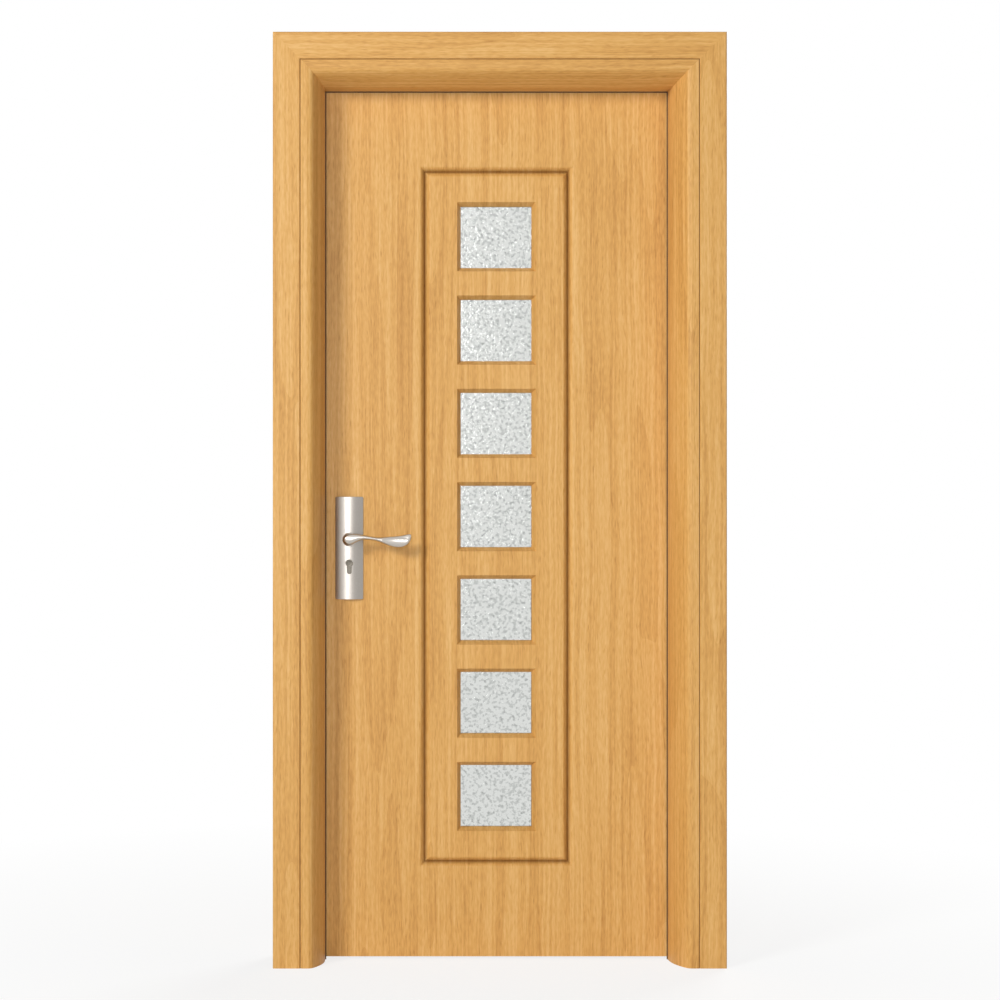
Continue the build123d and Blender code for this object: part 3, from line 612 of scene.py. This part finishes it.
for side, face_y, inwards in (("front", cad_low.y, 1), ("back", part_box("back_head_casing")[1].y, -1)):
    depth_y = face_y + inwards * FILLER_DEPTH
    around = 0 if inwards > 0 else pi
    climb = (0, 0, head_line + FILLER_DEPTH)
    crossing = (hinge_line - lock_line + 2 * FILLER_DEPTH, 0, 0)
    bars = [
        filler_bar((hinge_line, depth_y, 0), (0, 0, around), climb, [hinge_mitre], True),
        filler_bar((lock_line, depth_y, 0), (0, 0, around), climb, [lock_mitre], True),
        filler_bar((lock_line - FILLER_DEPTH, depth_y, head_line), (around, pi / 2, 0), crossing,
                   [hinge_mitre, lock_mitre], False),
    ]
    for bar in bars:
        bar.select_set(True)
    filler = bars[0]
    bpy.context.view_layer.objects.active = filler
    bpy.ops.object.join()
    filler.name = f"{side}_joint_shade_filler"
    # painted shade: the dark filler stands in for the shadow in the V joint
    filler.data.materials.append(joint_shade_filler)
    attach(filler, "frame")
    print(filler.name, "of", len(filler.data.polygons), "faces")

# %% [markdown]
# Hinges, lock and handle are held by cross-head screws. One is modelled: a short cylinder whose top is inset
# and raised to a low dome, with a cross cut out of it. The cutter is two bars, each a stretched cube. A
# boolean makes a cleaner cross than moving points about would.


# %% One screw
SCREW_RADIUS = 0.0042
SCREW_HEIGHT = 0.0012
DOME_INSET = 0.0013
DOME_RISE = 0.0003
CROSS_LENGTH = 0.0050
CROSS_WIDTH = 0.0009
NEARLY_UP = 0.9


def select_top(piece):
    """Selects, in edit mode, the faces that point up."""
    bpy.ops.mesh.select_mode(type="FACE")
    bpy.ops.mesh.select_all(action="DESELECT")
    shape = bmesh.from_edit_mesh(piece.data)
    for side in shape.faces:
        side.select_set(side.normal.z > NEARLY_UP)
    bmesh.update_edit_mesh(piece.data)


def cut_bar(piece, bar_size, bar_place):
    """Cuts a bar-shaped slot out of a piece."""
    bpy.ops.object.select_all(action="DESELECT")
    bpy.ops.mesh.primitive_cube_add(size=1, location=bar_place)
    bar = bpy.context.object
    bar.scale = bar_size
    bpy.ops.object.transform_apply(location=True, rotation=True, scale=True)
    slot = piece.modifiers.new("slot", "BOOLEAN")
    slot.operation = "DIFFERENCE"
    slot.object = bar
    bpy.context.view_layer.objects.active = piece
    bpy.ops.object.modifier_apply(modifier="slot")
    bpy.data.objects.remove(bar)


bpy.ops.object.select_all(action="DESELECT")
bpy.ops.mesh.primitive_cylinder_add(vertices=24, radius=SCREW_RADIUS, depth=SCREW_HEIGHT, location=(0, 0, 0))
screw = bpy.context.object
bpy.ops.object.mode_set(mode="EDIT")
select_top(screw)
bpy.ops.mesh.inset(thickness=DOME_INSET, depth=DOME_RISE)
bpy.ops.object.mode_set(mode="OBJECT")
for bar_size in ((CROSS_LENGTH, CROSS_WIDTH, SCREW_HEIGHT), (CROSS_WIDTH, CROSS_LENGTH, SCREW_HEIGHT)):
    cut_bar(screw, bar_size, (0, 0, SCREW_HEIGHT / 2 + DOME_RISE))
bpy.context.view_layer.objects.active = screw
screw.select_set(True)
bpy.ops.object.shade_smooth_by_angle(angle=pi / 6)
screw.data.materials.append(zinc_steel)
print("screw of", len(screw.data.polygons), "faces")

# %% [markdown]
# Four screws hold each hinge plate, staggered so that they don't split the wood, and two hold the lock's
# faceplate, the strike and the inner handle plate. Each stands half a millimetre proud, and its cross stops
# at another angle, as a hand-driven screw does. The screws of one plate are joined into one piece.

# %% Screws on their plates
PROUD = 0.0005
STOP_TO_REBATE = 0.011
HINGE_SCREWS = ((0.013, -0.038), (0.022, -0.013), (0.013, 0.013), (0.022, 0.038))
END_MARGIN = 0.012
SLOT_TURN = 0.7

plate_screws = []
to_lock_side = Vector((-1, 0, 0))
to_hinge_side = Vector((1, 0, 0))
rebate_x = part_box("hinge_jamb")[0].x + STOP_TO_REBATE
leaf_edge_x = leaf_box[1].x
leaf_back = leaf_box[1].y
for level in ("bottom", "middle", "top"):
    for body, face_x, facing in (("frame", rebate_x, to_lock_side), ("leaf", leaf_edge_x, to_hinge_side)):
        node = f"{level}_hinge_{body}_plate"
        low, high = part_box(node)
        middle_z = (low.z + high.z) / 2
        seats = [Vector((face_x, leaf_back - back, middle_z + rise)) for back, rise in HINGE_SCREWS]
        plate_screws.append((node, seats, facing, body))
for node, facing, body in (("mortise_lock", to_lock_side, "leaf"), ("strike_plate", to_hinge_side, "frame")):
    low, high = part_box(node)
    face_x = low.x if facing == to_lock_side else high.x
    middle_y = (low.y + high.y) / 2
    seats = [Vector((face_x, middle_y, z)) for z in (low.z + END_MARGIN, high.z - END_MARGIN)]
    plate_screws.append((node, seats, facing, body))
low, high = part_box("back_handle_plate")
seats = [Vector(((low.x + high.x) / 2, high.y, z)) for z in (low.z + END_MARGIN, high.z - END_MARGIN)]
plate_screws.append(("back_handle_plate", seats, Vector((0, 1, 0)), "leaf"))

for node, seats, facing, body in plate_screws:
    copies = []
    for number, seat in enumerate(seats):
        bpy.ops.object.select_all(action="DESELECT")
        screw.select_set(True)
        bpy.context.view_layer.objects.active = screw
        bpy.ops.object.duplicate(linked=False)
        copy = bpy.context.object
        aim = facing.to_track_quat("Z", "Y").to_matrix().to_4x4()
        sunk = seat + facing * (PROUD - SCREW_HEIGHT / 2)
        copy.matrix_world = Matrix.Translation(sunk) @ aim @ Matrix.Rotation(SLOT_TURN * number, 4, "Z")
        copies.append(copy)
    bpy.ops.object.select_all(action="DESELECT")
    for copy in copies:
        copy.select_set(True)
    screw_set = copies[0]
    bpy.context.view_layer.objects.active = screw_set
    bpy.ops.object.join()
    bpy.ops.object.transform_apply(location=True, rotation=True, scale=True)
    screw_set.name = f"screws_{node}"
    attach(screw_set, body)
bpy.data.objects.remove(screw)
print("screws on", len(plate_screws), "plates")

# %% [markdown]
# The round plug that the key turns sits in the cylinder's face. It is a thin disc with a turned rim: the face
# is inset and sunk a little, and a slot with a side step is cut through it, over the cylinder's own keyway.

# %% Key plugs
PLUG_RADIUS = 0.0064
PLUG_HEIGHT = 0.0006
RIM_WIDTH = 0.0009
RIM_SINK = -0.0002
KEY_SLOT = (0.0021, 0.0088)
KEY_STEP = (0.0022, 0.0034)

cylinder_low, cylinder_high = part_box("lock_cylinder")
plug_x = (cylinder_low.x + cylinder_high.x) / 2
plug_z = cylinder_high.z - (cylinder_high.x - cylinder_low.x) / 2
for side, face_y, turn in (("front", cylinder_low.y, pi / 2), ("back", cylinder_high.y, -pi / 2)):
    bpy.ops.object.select_all(action="DESELECT")
    bpy.ops.mesh.primitive_cylinder_add(vertices=48, radius=PLUG_RADIUS, depth=2 * PLUG_HEIGHT)
    plug = bpy.context.object
    plug.name = f"{side}_key_plug"
    bpy.ops.object.mode_set(mode="EDIT")
    select_top(plug)
    bpy.ops.mesh.inset(thickness=RIM_WIDTH, depth=RIM_SINK)
    bpy.ops.object.mode_set(mode="OBJECT")
    cut_bar(plug, (KEY_SLOT[0], KEY_SLOT[1], 4 * PLUG_HEIGHT), (0, 0, 0))
    cut_bar(plug, (KEY_STEP[0], KEY_STEP[1], 4 * PLUG_HEIGHT), (KEY_SLOT[0] / 2, -KEY_STEP[1] / 2, 0))
    plug.rotation_euler = (turn, 0, 0)
    plug.location = (plug_x, face_y, plug_z)
    plug.select_set(True)
    bpy.ops.object.transform_apply(location=True, rotation=True, scale=True)
    bpy.ops.object.shade_smooth_by_angle(angle=pi / 6)
    plug.data.materials.append(cylinder_nickel_painted_shade)
    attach(plug, "leaf")
print("key plugs at", round(plug_x, 4), round(plug_z, 4))
